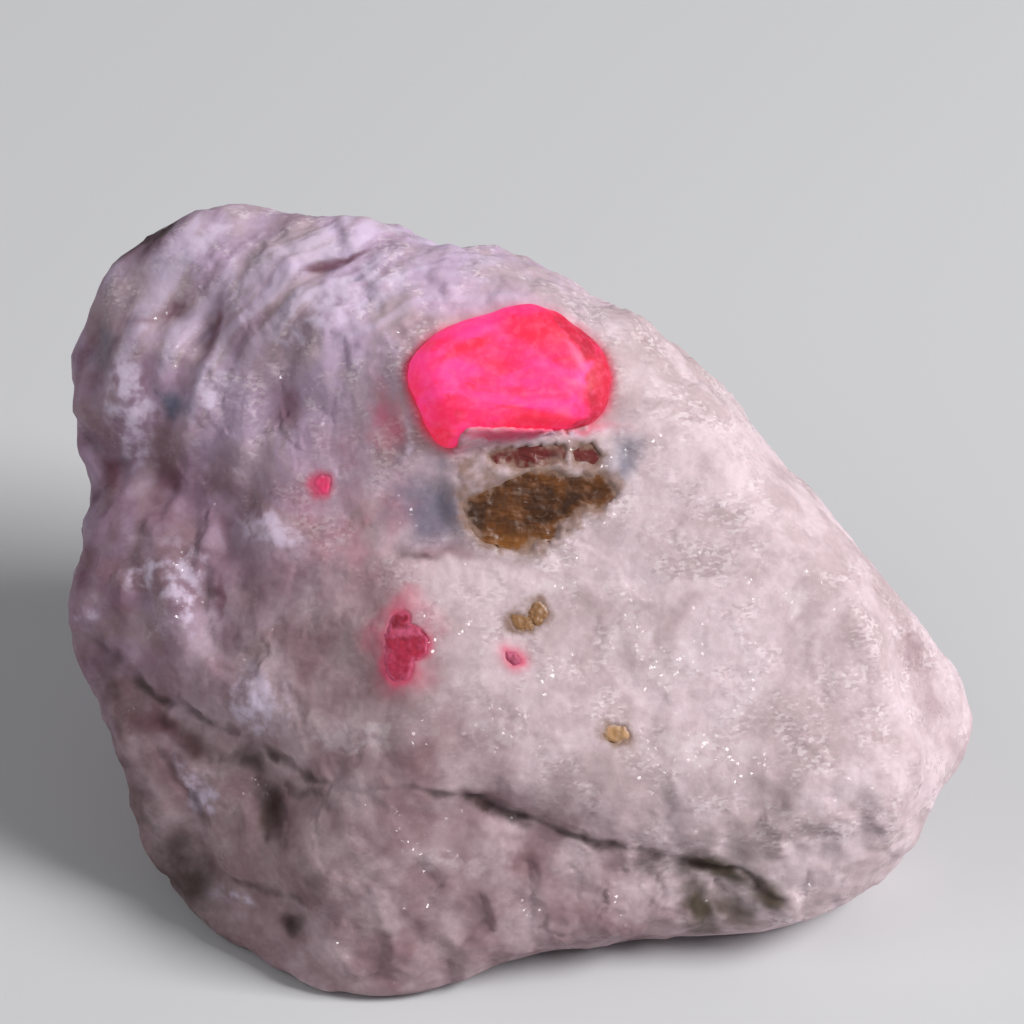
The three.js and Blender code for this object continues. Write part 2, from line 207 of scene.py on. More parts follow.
# %% [markdown]
# ## The ruby
#
# Rubies from marble often grow as worn-looking, rounded crystals, with a flat top and a thick girdle. Its
# faces carry shallow dents and fine growth lines.

# %% The ruby
TIP_X, TIP_Y = -4.6, 10.3  # the lower left tip, which hangs down below the solid's
TIP_DROP = 0.5

def ruby_relief(point):
    dents = 0.16 * noise.fractal(point / 3.4, 1, 2.1, 3)
    lines = 0.025 * noise.noise(Vector((point.x / 2.5, point.y / 0.45, point.z / 0.5)))
    return dents + lines

def tip_drop(point):
    """How far down a place near the tip is drawn."""
    return TIP_DROP * math.exp(-(((point.x - TIP_X) / 1.5) ** 2) - ((point.y - TIP_Y) / 1.3) ** 2)

ruby = fine_copy("ruby_crystal", edge_round=0.9, mesh_size=0.22, smoothing=14)
for vert in ruby.verts:
    vert.co.y -= tip_drop(vert.co)
shift_out(ruby, ruby_relief)
print("ruby has", len(ruby.faces), "faces")

# %% [markdown]
# ## A fine ball, shrunk on
#
# Broken stone and split mica have no clean planes to cut fine. A ball of even triangles can be drawn in from
# all round onto such a form, as cling film would, and it closes over every slit and socket. Sculpting on a
# remesh would do it too, but slower. Most of the looking is done at the display face, so the ball's vertices
# are drawn that way and its front is cut once more.

# %% A fine ball, shrunk on
FINE_FROM = 0.14  # how high on the ball the fine front begins
FAR_OUT = 80  # beyond every form

def shrunk_ball(form, middle, subdivisions, bias, spread, back_spread):
    """A ball drawn in onto a form, finest at the face and spread out to its rim."""
    tree = BVHTree.FromBMesh(form)
    ball = bmesh.new()
    bmesh.ops.create_icosphere(ball, subdivisions=subdivisions, radius=1)
    cut(ball, [edge for edge in ball.edges if all(vert.co.z > FINE_FROM for vert in edge.verts)])
    for vert in ball.verts:
        way = vert.co.normalized()
        way.z += bias
        way.normalize()
        way.z *= spread if way.z > 0 else back_spread
        way.normalize()
        met = tree.ray_cast(middle + way * FAR_OUT, -way)[0]
        vert.co = met or tree.find_nearest(middle + way)[0]
    form.free()
    relax(ball, 2)
    ball.normal_update()
    return ball

def wrapped(node, subdivisions):
    """A fine ball shrunk onto a crystal's solid."""
    solid = face_copy(node)
    middle = sum((vert.co for vert in solid.verts), Vector()) / len(solid.verts)
    return shrunk_ball(solid, middle, subdivisions, bias=0.4, spread=0.7, back_spread=1)

print("the front is finer above", FINE_FROM)

# %% [markdown]
# ## The mica book
#
# Mica splits into sheets thinner than paper, and a book of it seen from the edge is a pile of ragged leaves.
# Hundreds of loose leaves would be slow. Here the break that went through the stone levels the book's front,
# and then each leaf stands a little higher or lower than the next, with its own breaks along it.

# %% The mica book
LEAF = 0.3  # thickness of a visible leaf
BREAK_LEVEL = 11.9  # where the broken front of the book lies, out of the face
BREAK_DEPTH = [1.2, 0.5]  # the levelling grows between these depths below it
SHEET_LEVEL = 0.96  # how much more level the front is than the solid's

def leaf_relief(point):
    """How far one leaf of the book stands out at a point."""
    waver = 0.5 * noise.noise(Vector((point.x / 2, point.y / 2, 0)))
    leaf = math.floor((point.y + waver) / LEAF)
    along = noise.noise(Vector((point.x / 1.4, leaf * 7.3, 5)))
    return 0.08 * along + 0.14 * noise.fractal(point / 1.1, 1, 2, 3)

mica = wrapped("mica_book", 6)
for vert in mica.verts:
    share = SHEET_LEVEL * ease(vert.co.z, BREAK_LEVEL - BREAK_DEPTH[0], BREAK_LEVEL - BREAK_DEPTH[1])
    vert.co.z += share * (BREAK_LEVEL - vert.co.z)
relax(mica, 4)
for vert in mica.verts:
    vert.co.z += leaf_relief(vert.co)
mica.normal_update()
print("mica has", len(mica.faces), "faces")

# %% [markdown]
# ## The small grains
#
# Specks of ruby and mica lie about in the marble, some of them grown together. A ball shrunk on closes the
# seams between those, and coarse dents take the roundness off.

# %% The small grains
def grain_relief(point):
    return 0.06 + 0.24 * noise.fractal(point / 0.8, 1, 2, 3)

crystal_nodes = [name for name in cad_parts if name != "marble_matrix"]
crystal_forms = {"ruby_crystal": ruby, "mica_book": mica}
for name in crystal_nodes:
    if name not in crystal_forms:
        crystal_forms[name] = wrapped(name, 5)
        shift_out(crystal_forms[name], grain_relief)
print("crystals have", [len(form.faces) for form in crystal_forms.values()], "faces")

# %% [markdown]
# ## The marble's skin
#
# The marble solid has the right form but flat facets, and a socket under each crystal. Its fine surface
# could be sculpted by hand, or grown from noise alone. Here the fine ball is shrunk onto the solid, so the
# form stays true. First the sockets are taken out of a copy and healed over, and its facets smoothed away.

# %% The marble's skin
SOCKET_REACH = 0.4  # how near to a crystal a socket's walls are

solid_trees = []
for name in crystal_nodes:
    solid = face_copy(name)
    solid_trees.append(BVHTree.FromBMesh(solid))
    solid.free()

def is_socket_wall(face):
    middle = face.calc_center_median()
    return any(tree.find_nearest(middle, SOCKET_REACH)[0] for tree in solid_trees)

skin = face_copy("marble_matrix")
bmesh.ops.delete(skin, geom=[face for face in skin.faces if is_socket_wall(face)], context="FACES")
rims = [edge for edge in skin.edges if edge.is_boundary]
healed = bmesh.ops.holes_fill(skin, edges=rims, sides=0)["faces"]
bmesh.ops.triangulate(skin, faces=healed)
for rounds in (3, 2):
    bmesh.ops.subdivide_edges(skin, edges=skin.edges, cuts=1, use_grid_fill=True)
    relax(skin, rounds)
print("healed", len(healed), "holes in a skin of", len(skin.faces), "faces")
marble = shrunk_ball(skin, Vector(), 7, bias=0.25, spread=0.5, back_spread=0.85)
print("marble has", len(marble.faces), "faces")

# %% [markdown]
# ## Where the cracks run
#
# The piece parted along a few creases when it was broken out. The solid steps back at each of them, and here
# each one gets its sharp line, a shallow groove painted dark with dirt and painted shade. A crack could be
# drawn as a curve and cut in, but then it would look cut. So its points go into a search tree, which tells
# any place on the marble how far off it is.

# %% Where the cracks run
# Each crack is a row of [x, y, depth], with the depth as a share of the deepest.
CRACKS = {
    "long": [
        [-29, -2, 0.5], [-25.6, -3.4, 0.7], [-24.2, -5.6, 0.6], [-21.6, -6.6, 0.6], [-16.6, -8.9, 0.7],
        [-13.8, -10.5, 0.7], [-11.3, -11.6, 0.3], [-7.6, -11.6, 0.35], [-5, -12, 0.7], [-2.5, -12.5, 0.9],
        [0, -13.4, 1], [1.8, -14, 0.5], [4.2, -14.8, 0.9], [7.6, -15.7, 0.7], [9.5, -16.2, 0.35],
        [11.2, -16.6, 0.8], [13.8, -17, 1], [15.5, -18.3, 0.7], [17.2, -19.5, 0.3],
    ],
    "drop": [[-17.1, -9, 0.6], [-16.3, -10.6, 0.5], [-15.4, -12.1, 0.5], [-14.2, -15.2, 0.1]],
    "low left": [
        [-23.4, -8.8, 0.3], [-21.8, -11.4, 0.4], [-20.1, -13.6, 0.7], [-20.3, -16, 0.5],
        [-18.6, -17.6, 0.5], [-14.5, -18.6, 0.5], [-12, -19.3, 0.2],
    ],
    "above notch": [[-28.6, 11.4, 0.3], [-26.9, 9.5, 0.5], [-25.6, 8.7, 0.5], [-23.5, 12.6, 0.1]],
    "below notch": [[-25.2, 9, 0.4], [-27.1, 7.2, 0.6], [-28.4, 4.5, 0.2]],
    "upper": [[-17.3, 19.8, 0.1], [-18.9, 18.5, 0.25], [-19.8, 16.6, 0.3], [-20.9, 13.6, 0.1]],
    "shoulder": [
        [-20.2, 19.9, 0.1], [-22.6, 19.1, 0.2], [-24.9, 18.2, 0.35], [-26.1, 16.6, 0.35],
        [-27.2, 14.6, 0.1],
    ],
    "left": [[-16.6, 9.4, 0.1], [-16.9, 6.5, 0.3], [-18.3, 3.5, 0.2], [-19.7, 2.3, 0.1]],
    "lower left": [[-19.1, -3.4, 0.1], [-19.8, -1.6, 0.6], [-19.9, 0.4, 0.6], [-20.1, 3, 0.1]],
    "streak": [[-13.4, 21.2, 0.1], [-12, 21.9, 0.4], [-10.9, 22.6, 0.2]],
    "right": [[20.6, -14.6, 0.1], [22.5, -14.4, 0.3], [24.5, -14.9, 0.1]],
}
CRACK_STEP = 0.1  # between the points along a crack
SIDES = [-6, -2]  # what belongs to the face fades out between these heights

crack_points = []
for row in CRACKS.values():
    for (x, y, depth), (next_x, next_y, next_depth) in zip(row, row[1:]):
        steps = math.ceil(math.hypot(next_x - x, next_y - y) / CRACK_STEP)
        for step in range(steps):
            share = step / steps
            crack_points.append((
                Vector((x + (next_x - x) * share, y + (next_y - y) * share, 0)),
                depth + (next_depth - depth) * share,
            ))
crack_tree = KDTree(len(crack_points))
for number, (place, _) in enumerate(crack_points):
    crack_tree.insert(place, number)
crack_tree.balance()

def crack_at(point, wide):
    """How deep in a crack a point of the face is, from 0 to 1, for cracks this wide."""
    if point.z < SIDES[0]:
        return 0
    waver = noise.noise_vector(point / 1.7) * 0.35 + noise.noise_vector(point / 0.6) * 0.15
    _, number, away = crack_tree.find(Vector((point.x + waver.x, point.y + waver.y, 0)))
    pinch = 0.75 + 0.6 * noise.noise(point / 1.3)
    depth = crack_points[number][1] * pinch * ease(point.z, *SIDES)
    return depth * math.exp(-((away / (wide * pinch)) ** 2))

print("cracks have", len(crack_points), "points")

# %% [markdown]
# ## Swells and dents
#
# Between the cracks the face has its own lumps: calcite stands in a bead along the ruby's lower edge and
# laps over its left tip, and hollows lie behind the small ledges. They could be sculpted in with a brush.
# A short list of soft ellipses does the same and stays easy to change.

# %% Swells and dents
# Each one is [x, y, half width, half height, turn in degrees, height], in millimetres.
SWELLS = [
    [1.4, 10.3, 4.9, 0.5, 1, 0.7],  # the bead along the ruby's lower edge
    [-7.2, 12.8, 0.9, 2.4, 10, 0.5],  # over the ruby's left tip
    [-23, 22.5, 3.2, 0.6, 36, 0.5],  # the crest of the upper left corner,
    [-23.6, 24.1, 2.8, 0.7, 37, -0.5],  # and the step down behind it
    [-27.3, 14.2, 0.8, 3.6, 0, -0.5],
    [-25.2, 12.4, 1.3, 3.4, 10, 0.6],  # the lobe over the notch
    [-26, 8.6, 1.3, 1.4, 0, -0.9],  # the notch
    [-22.3, 7.4, 1.5, 3.2, 20, -0.6],
    [-20, 17.6, 0.6, 2.8, -22, -0.6],  # a groove beside the foggy hollow
    [-22.8, 18.4, 2, 0.5, 18, -0.45], [-15.2, 12.6, 2.2, 2.6, 0, -0.4], [-12.4, 21.2, 2.8, 0.4, 28, -0.4],
    [-21.8, -1, 1.3, 3.4, 10, 0.45], [-16.2, -6.4, 1.8, 2.4, 30, 0.4], [-16, 4.6, 2, 0.9, -35, 0.3],
    [-18.6, 5.2, 1.2, 3.4, 15, -0.45],
    [-14.3, -20.2, 0.8, 0.9, 0, -0.7],  # a small pit
    [-16.3, -12.2, 1.1, 2.6, 14, -0.6], [-0.8, -13.3, 1.4, 0.6, -20, -0.35],
    [22.7, -4.8, 0.8, 5.4, 22, 0.6],  # the ridge inside the right rim
]

def turned_away(point, x, y, wide, high, turn):
    """How far off a turned ellipse's middle a point is, in its own half sizes."""
    cosine = math.cos(math.radians(turn))
    sine = math.sin(math.radians(turn))
    away_x = point.x - x
    away_y = point.y - y
    return math.hypot((away_x * cosine + away_y * sine) / wide, (away_y * cosine - away_x * sine) / high)

def swell_at(point):
    """How far the lumps and hollows lift the surface at a point, fading out at the sides."""
    if point.z < SIDES[0]:
        return 0
    lift = 0
    for x, y, wide, high, turn, height in SWELLS:
        lift += height * math.exp(-(turned_away(point, x, y, wide, high, turn) ** 2))
    return lift * ease(point.z, *SIDES)

print(len(SWELLS), "swells and dents")

# %% [markdown]
# ## Broken marble
#
# Marble is grown-together grains of calcite. Where it breaks, each grain splits along its own flat cleavage,
# so a break is a patchwork of tiny tilted facets. The middle of the face is a fresh, even break, and
# its rim and the back are rougher and worn. A texture could give the same relief by displacement.
# Moving the vertices shows it from every side.

# %% Broken marble
def weathering(point):
    """1 on the worn sides and back, and 0 on the fresh middle of the face."""
    from_middle = math.hypot((point.x - 3) / 1.35, point.y - 1)
    return max(ease(from_middle, 11, 19), ease(-point.z, -7, 0))

def chips(point, size):
    """The relief of cleavage facets: each grain of the size has a plane of its own tilt."""
    place = point / size
    away, middles = noise.voronoi(place)
    heights = []
    for middle in middles[:2]:
        tilt = noise.cell_vector(middle * 9.7) - Vector((0.5, 0.5, 0.5))
        heights.append(tilt.dot(place - middle) * size)
    share = 0.5 * (1 - ease(away[1] - away[0], 0, 0.3))
    return heights[0] + (heights[1] - heights[0]) * share

def streaks(point):
    """Thin bands that sweep round the upper left, from -1 to 1."""
    out = math.hypot(point.x + 1.5, point.y - 4.5) + 0.8 * noise.noise(point / 4)
    round_it = math.atan2(point.y - 4.5, point.x + 1.5)
    return noise.fractal(Vector((out / 1.2, round_it * 2.2, point.z / 6)), 0.9, 2.2, 3)

def banded(point):
    """How far into the banded upper left corner a point is, from 0 to 1."""
    return ease(point.y - 0.4 * point.x, 17, 25) * ease(point.z, 0, 5)

# Where the break is smoother: [x, y, half width, half height, turn in degrees, strength].
SMOOTH_PLACES = [
    [-12, 4, 8, 8.5, 20, 0.75], [-15, 13.5, 4, 4.5, 0, 0.7], [-21, -1, 4, 5, 0, 0.5],
    [-8, -16.5, 7, 4, 0, 0.6], [12, 2, 10, 8, -30, 0.4], [23.8, -5, 3, 7, 23, 0.8],
]

def smoothness(point):
    """How smooth the break is at a point, from 0 to 1."""
    most = 0
    for x, y, wide, high, turn, strength in SMOOTH_PLACES:
        most = max(most, strength * (1 - ease(turned_away(point, x, y, wide, high, turn), 0.5, 1.3)))
    return most

def relief(point):
    """How far the broken surface stands out at a point, in millimetres."""
    worn = weathering(point) * (1 - smoothness(point))
    high = (0.12 + 0.08 * worn) * noise.fractal(point / 3.1, 1.0, 2.1, 5)
    high += (0.10 + 0.24 * worn) * chips(point, 2.9)
    high += (0.04 + 0.14 * worn) * chips(point + Vector((40, 0, 0)), 1.2)
    ridges = noise.ridged_multi_fractal(point / 5.5, 1.1, 2.1, 4, 1, 2)
    high += (0.02 + 0.2 * worn) * (ridges - 1)
    high += 0.22 * banded(point) * streaks(point)
    return high + swell_at(point) - 0.45 * crack_at(point, 0.3)

SPIKE = 0.12  # a vertex that stands off its neighbours by more is drawn back
CALM_FOOT = [0.2, 2.5]  # the relief fades out between these heights over the floor

def off_its_neighbours(vert):
    """How far a vertex stands off the middle of the vertices round it."""
    others = [edge.other_vert(vert).co for edge in vert.link_edges]
    return (vert.co - sum(others, Vector()) / len(others)).length

moves = []
for vert in marble.verts:
    calm = ease(height_over_floor(vert.co), *CALM_FOOT)
    moves.append(vert.normal * relief(vert.co) * calm)
for vert, move in zip(marble.verts, moves):
    vert.co += move
spikes = marble.verts
for _ in range(3):
    spikes = [vert for vert in spikes if off_its_neighbours(vert) > SPIKE]
    relax(marble, 1, spikes, factor=0.8)
for vert in marble.verts:
    sunk = -height_over_floor(vert.co)
    if sunk > 0:
        vert.co += UP * sunk
print("relief up to", round(max(move.length for move in moves), 2), "mm, and", len(spikes), "spikes left")

# %% [markdown]
# ## Windows on the mica
#
# The mica book isn't set on the marble but grown into it. Calcite laps over most of it, and it shows
# through windows, where the break happened to reach it. So the outline that one sees is the marble's, and
# not the book's. Each window is an outline here. The ruby stands clear but for a thin lap along its lower
# edge, so its one outline only matters there.

# %% Windows on the mica
MICA_WINDOWS = [
    [
        [-3.6, 5.5], [-3.4, 6.4], [-2.2, 7], [-0.6, 7.8], [0.6, 8.3], [2, 8.3], [3.4, 7.8], [5, 8.1],
        [5.7, 7.4], [6, 6.5], [5, 6], [3.4, 5.7], [2.5, 5.1], [2.2, 4.2], [0.9, 3.7], [-0.3, 3.3],
        [-1.6, 3.5], [-2.5, 4], [-3.3, 4.7],
    ],
    [
        [-1.9, 9.3], [-1.3, 9.9], [0, 10.1], [1.7, 10.1], [2.6, 9.8], [2.7, 8.9], [1.5, 8.6], [-0.3, 8.6],
        [-1.5, 8.8],
    ],
    [[3.3, 9.6], [3.8, 9.9], [4.7, 9.9], [5, 9.3], [4.6, 8.8], [3.6, 8.8]],
]
RUBY_WINDOWS = [[
    [-9, 20.5], [8, 20.5], [8, 11.4], [5, 11.2], [3.6, 10.9], [2.5, 10.8], [0.5, 10.95], [-1.3, 10.95],
    [-3.2, 11], [-3.8, 10.4], [-4.4, 9.2], [-9, 9.2],
]]

def inside_by(outline, x, y):
    """How far inside an outline a place is, or below 0 how far outside."""
    inside = False
    nearest = math.inf
    for (from_x, from_y), (to_x, to_y) in zip(outline, outline[1:] + outline[:1]):
        if (from_y > y) != (to_y > y):
            if x < from_x + (y - from_y) / (to_y - from_y) * (to_x - from_x):
                inside = not inside
        side = Vector((to_x - from_x, to_y - from_y))
        away = Vector((x - from_x, y - from_y))
        share = min(max(away.dot(side) / side.length_squared, 0), 1)
        nearest = min(nearest, (away - side * share).length)
    return nearest if inside else -nearest

def window_at(windows, point, waver_by=1):
    """How far inside some windows a point is, with a ragged edge."""
    waver = (noise.noise_vector(point / 1.1) * 0.25 + noise.noise_vector(point / 0.45) * 0.12) * waver_by
    return max(inside_by(outline, point.x + waver.x, point.y + waver.y) for outline in windows)

print(len(MICA_WINDOWS), "windows on the mica")

# %% [markdown]
# ## Marble round the crystals
#
# A boolean could cut the room for the crystals, but it would leave slivers at a surface as rough as this.
# Instead the vertices are moved along the face's own z. The break went through the small grains, so they are
# pressed level with the marble. The marble runs on a little way into a crystal, so that they meet in a clean
# line, and then goes down below it. Over the mica it thins to a feather edge.

# %% Marble round the crystals
HIGH = Vector((0, 0, 30))  # over every crystal
OUTWARDS = Vector((0, 0, 1))
CLEARANCE = 0.05  # between a crystal and the marble under it
LAP = 0.2  # how thick the marble is where it laps over a crystal
LAP_REACH = 1.4  # how far from the mica it has come back to its own level
RUBY_REACH = 2  # further from the ruby than this it stays as it is
FEATHER_SLOPE = 0.6  # how steeply it thins over the mica,
FEATHER_WIDTH = 0.8  # and from how far outside a window
LAP_SLOPE = 3  # how steeply its end drops to the ruby
ROUNDED = 0.1  # how far the mica's edge is rounded down
GRAIN_PROUD = [-0.07, 0.07]  # how far a grain stands out of the marble, at its rim and further in
GRAIN_ROUNDED = 0.3  # how wide its rim is
INWARDS = Vector((0, 0.2, 0))  # from the ruby's lower edge
RUN_IN = [0.35, 0.9]  # the marble inside a crystal goes down between these depths,
GRAIN_RUN_IN = [0.1, 0.5]  # and these for a small grain

def press_level(grain, marble_tree):
    """Presses what stands out of the marble down to it, and lower at the rim."""
    own_tree = BVHTree.FromBMesh(grain)
    for vert in grain.verts:
        marble_there = marble_tree.ray_cast(Vector((vert.co.x, vert.co.y, HIGH.z)), -OUTWARDS)[0]
        found = over_and_under(own_tree, vert.co)
        inside = ease(found[2], 0, GRAIN_ROUNDED) if found else 0
        proud = GRAIN_PROUD[0] + (GRAIN_PROUD[1] - GRAIN_PROUD[0]) * inside
        rough = 0.05 * noise.noise(vert.co / 0.35)
        vert.co.z = min(vert.co.z, marble_there.z + proud + rough)
    grain.normal_update()

def over_and_under(tree, point):
    """The heights of a crystal's top and bottom at a point, and how far in from its sides that is."""
    across = Vector((point.x, point.y, 0))
    over = tree.ray_cast(across + HIGH, -OUTWARDS)[0]
    under = tree.ray_cast(across - HIGH, OUTWARDS)[0]
    if not over or not under:
        return None
    return over.z, under.z, tree.find_nearest((over + under) / 2)[3]

def beside_ruby(tree, point):
    if tree.find_nearest(point, RUBY_REACH)[0] is None:
        return point.z
    shows = window_at(RUBY_WINDOWS, point, 0.5)
    found = over_and_under(tree, point + INWARDS if shows < 0 else point)
    if not found or not found[1] < point.z < found[0]:
        return point.z
    over, under, depth = found
    if shows < 0:
        return max(point.z, over + min(LAP, -2 * shows))
    edge = max(point.z, over - shows * LAP_SLOPE)
    return edge + (under - CLEARANCE - edge) * ease(min(depth, shows), *RUN_IN)

def over_mica(tree, point):
    level = BREAK_LEVEL + LAP
    found = over_and_under(tree, point)
    if not found:
        nearest, _, _, away = tree.find_nearest(point, LAP_REACH)
        if nearest is None or level < point.z:
            return point.z
        return point.z + (level - point.z) * (1 - ease(away, 0, LAP_REACH))
    over, under, depth = found
    over = max(over, BREAK_LEVEL - ROUNDED)
    shows = min(window_at(MICA_WINDOWS, point), depth)
    edge = over - shows * FEATHER_SLOPE
    if shows > 0:
        return edge + (under - CLEARANCE - edge) * ease(shows, *RUN_IN)
    return edge + (max(point.z, over + LAP) - edge) * ease(-shows, 0, FEATHER_WIDTH)

def beside_grain(tree, point):
    found = over_and_under(tree, point)
    if not found or point.z < found[1]:
        return point.z
    return point.z + (found[1] - CLEARANCE - point.z) * ease(found[2], *GRAIN_RUN_IN)

PLACES = {"ruby_crystal": beside_ruby, "mica_book": over_mica}  # and beside_grain for the others
break_tree = BVHTree.FromBMesh(marble)
for name, form in crystal_forms.items():
    if name not in PLACES:
        press_level(form, break_tree)
crystal_trees = {name: BVHTree.FromBMesh(form) for name, form in crystal_forms.items()}
by_crystals = [vert for vert in marble.verts if vert.co.z > 2]
for vert in by_crystals:
    for name, tree in crystal_trees.items():
        vert.co.z = PLACES.get(name, beside_grain)(tree, vert.co)
marble.normal_update()
print("looked at", len(by_crystals), "vertices")

# %% [markdown]
# ## Where the marble is dirty, chalky or glassy, and where shade and glow are painted
#
# Marble this coarse isn't one colour. Dirt lodges in its cracks, bruised calcite goes chalky, glassy grains
# look grey or blue, and iron leaves brown-green stains. Shade is painted in as well: the cracks, hollows,
# shaded facets and the lower left are painted darker, some pale spots are painted highlights, and the
# rubies' glow is painted onto the stone round them; along the ruby's lap the ruby also shows through thin
# calcite.
# An image could hold all that, but it would blur in close-up. So each kind of patch is a short list of soft
# spots, kept at the vertices as an attribute, and the material breaks their edges up with noise.

# %% Where the marble is dirty, chalky or glassy, and where shade and glow are painted
# Each spot is [x, y, half width, half height, turn in degrees, strength].
SPOTS = {
    # dirt and painted shade: the cracks, pits, the notch and hollows, and the shaded lower left
    "dirt_and_painted_shade": [
        [-6.4, 3, 1.2, 0.4, -20, 0.6], [-23.5, 24.1, 2.8, 0.9, 37, 0.85], [-26.6, 8.4, 1, 1.2, 0, 0.6],
        [-0.8, -13.3, 1.5, 0.7, -20, 0.9], [-14.3, -20.2, 0.8, 1.2, 0, 0.75],
        [-15.5, -13.2, 0.9, 2.2, 12, 0.8], [-21.8, -17.6, 2.8, 3.6, 0, 0.8],
        [-22.6, -7.8, 2.6, 0.9, -28, 0.6], [-17.6, -10, 3, 0.9, -32, 0.75],
        [-13.2, -11.6, 2, 0.6, -22, 0.6], [-12.9, -17.9, 2.2, 1.2, -30, 0.45],
        [-20.5, -8.9, 4.5, 1.8, -25, 0.55], [-25.8, -6, 1.8, 4.5, 25, 0.5], [-25.4, -13, 2.2, 7, 20, 0.65],
        [8, -16.6, 2.4, 0.9, -18, 0.35], [-20.4, -21.5, 4.6, 2, -40, 0.5],
    ],
    "stain": [
        [13, -16.8, 2.2, 1, -25, 1], [15.8, -18.4, 2.2, 1, -40, 0.9], [11.4, -19.4, 1.1, 2.4, 12, 0.95],
        [13.6, -19.3, 1.8, 1, -35, 0.8], [8.6, -15.9, 1.5, 0.8, -20, 0.5], [10.6, -16.6, 1.3, 1.2, 0, 0.6],
        [14, -15.4, 2.8, 1.4, -20, 0.35], [-15.8, -12.8, 0.9, 1.8, 10, 0.5], [-21.5, -18.5, 3, 2.4, 0, 0.5],
        [0.4, -13.2, 1.2, 0.4, -20, 0.5],
    ],
    # painted glow of the rubies on the marble round them; along the ruby's lap the ruby also shows through
    # thin calcite
    "glow": [
        [0.4, 10.9, 5, 0.5, 1, 1], [-1, 10.5, 3.2, 0.4, 2, 1], [-7.3, -2.4, 2.2, 3, 0, 0.75],
        [-12.6, 7.5, 1.4, 1.4, 0, 0.5], [-10.6, 5.5, 5.6, 7, 0, 0.3], [-8.4, 11.4, 1.4, 3.4, 0, 0.5],
    ],
    # chalky calcite, with painted highlights: along the ruby's lap, a glint left of its tip, and a sheen on
    # the upper left
    "chalk_and_painted_highlight": [
        [-16.1, 4.6, 2.2, 0.8, -35, 0.75], [-21.3, 0.6, 1.2, 3, 12, 0.6], [-23.5, 1.6, 2, 0.9, 20, 0.5],
        [-16.6, -6.4, 1.8, 2.4, 30, 0.6], [-21, -11.8, 0.6, 2.6, 25, 0.5], [-25, 12.2, 1.4, 3.6, 10, 0.6],
        [-19.4, -18.6, 2.4, 0.4, -8, 0.5], [-27.6, -1, 0.9, 1.4, 0, 0.5], [0.6, 10.4, 4.6, 0.5, 1, 0.6],
        [-7, 10.2, 0.3, 0.9, 10, 0.8], [-11, 19.2, 5.4, 1.6, 28, 0.6], [-19.6, 13.6, 1.2, 2.6, -30, 0.5],
        [-20.6, 22.8, 3.6, 0.6, 35, 0.6], [-11, 8.4, 1.6, 1, 30, 0.35],
    ],
    "glassy": [
        [-22.2, 12.8, 1.2, 1.3, 0, 1], [-5.8, 5.9, 2.6, 2.2, 0, 1], [-5.8, 4, 2.2, 1, 0, 0.5],
        [6.3, 9, 1.2, 2.2, 0, 0.75], [-4.6, 8.4, 0.9, 1.4, 0, 0.6], [-7.6, 9.4, 0.6, 1.6, 0, 0.5],
        [-10, 20.6, 1.5, 0.3, 30, 0.5], [-27, 16.6, 0.8, 1.6, 0, 0.7],
    ],
    # painted shade: shaded facets, hollows and grooves, the notch, the step behind the upper left crest, the
    # ledge below the long crack
    "painted_shade": [
        [-19.6, 6, 3.8, 4.2, 20, 0.6], [-15.2, 12.6, 1.8, 2.4, 0, 0.65], [-23, 7.8, 1.6, 3.2, 20, 0.75],
        [-26.4, 8.6, 1.4, 1.6, 0, 1], [-19.8, 17.4, 0.7, 3.2, -22, 0.7], [-16.4, 16.8, 2.4, 3, 0, 0.45],
        [-23.2, 18.2, 3, 0.7, 20, 0.7], [-23.8, 24.7, 3.8, 2, 37, 0.9], [-12.2, 21.4, 2.8, 0.4, 28, 0.9],
        [-22.4, -3.6, 3.4, 2.4, 0, 0.55], [-27.8, 14, 1.2, 6, 0, 0.7], [-28, 2, 1.6, 7, 0, 0.7],
        [-1.6, 7.6, 1.9, 0.8, 8, 0.6], [-19.2, -0.2, 0.5, 2.6, 0, 0.8], [-4.6, 3.2, 2.6, 1, 0, 0.7],
        [7, -17.4, 3, 1.2, -18, 0.5], [-18.6, 4.6, 1, 2.8, 20, 0.7], [-22.2, -8.2, 4.4, 1.4, -27, 0.85],
        [-14.6, -12.4, 3.4, 1.1, -22, 0.6], [25.4, -4.6, 1.2, 5.6, 25, 0.4],
        [25.4, -9.8, 1, 2.6, -10, 0.35],
    ],
    "sugary": [
        [-10.6, -8.4, 2.2, 1, 5, 0.9], [9.4, -3.6, 2.6, 1.2, 20, 0.8], [17, 0.2, 1.1, 0.9, 0, 0.7],
        [11.4, -9.2, 3.8, 1, -3, 0.8], [2.4, 0.6, 1.8, 0.7, 20, 0.6], [-1, -7.6, 1.8, 2, 0, 0.5],
        [7, -1, 1.2, 2.4, -20, 0.5], [14.4, -6, 2.4, 0.7, 35, 0.5], [20, -12.2, 2.6, 0.6, 25, 0.5],
        [5.2, 5.4, 1.6, 0.5, 10, 0.5], [-4.6, -16.4, 2, 0.8, 0, 0.4],
    ],
}
SPOT_EDGE = 1.7  # how many half sizes out a spot has faded away
HALO = 0.4  # how far the rubies' painted glow reaches into the marble round them
VEIL = 0.35  # how thick a film of calcite lets the mica's brown through
BACK_DIM = 0.3
PAINTED_SHADE_LOWER_LEFT = 0.55  # how much painted shade darkens the lower left of the face

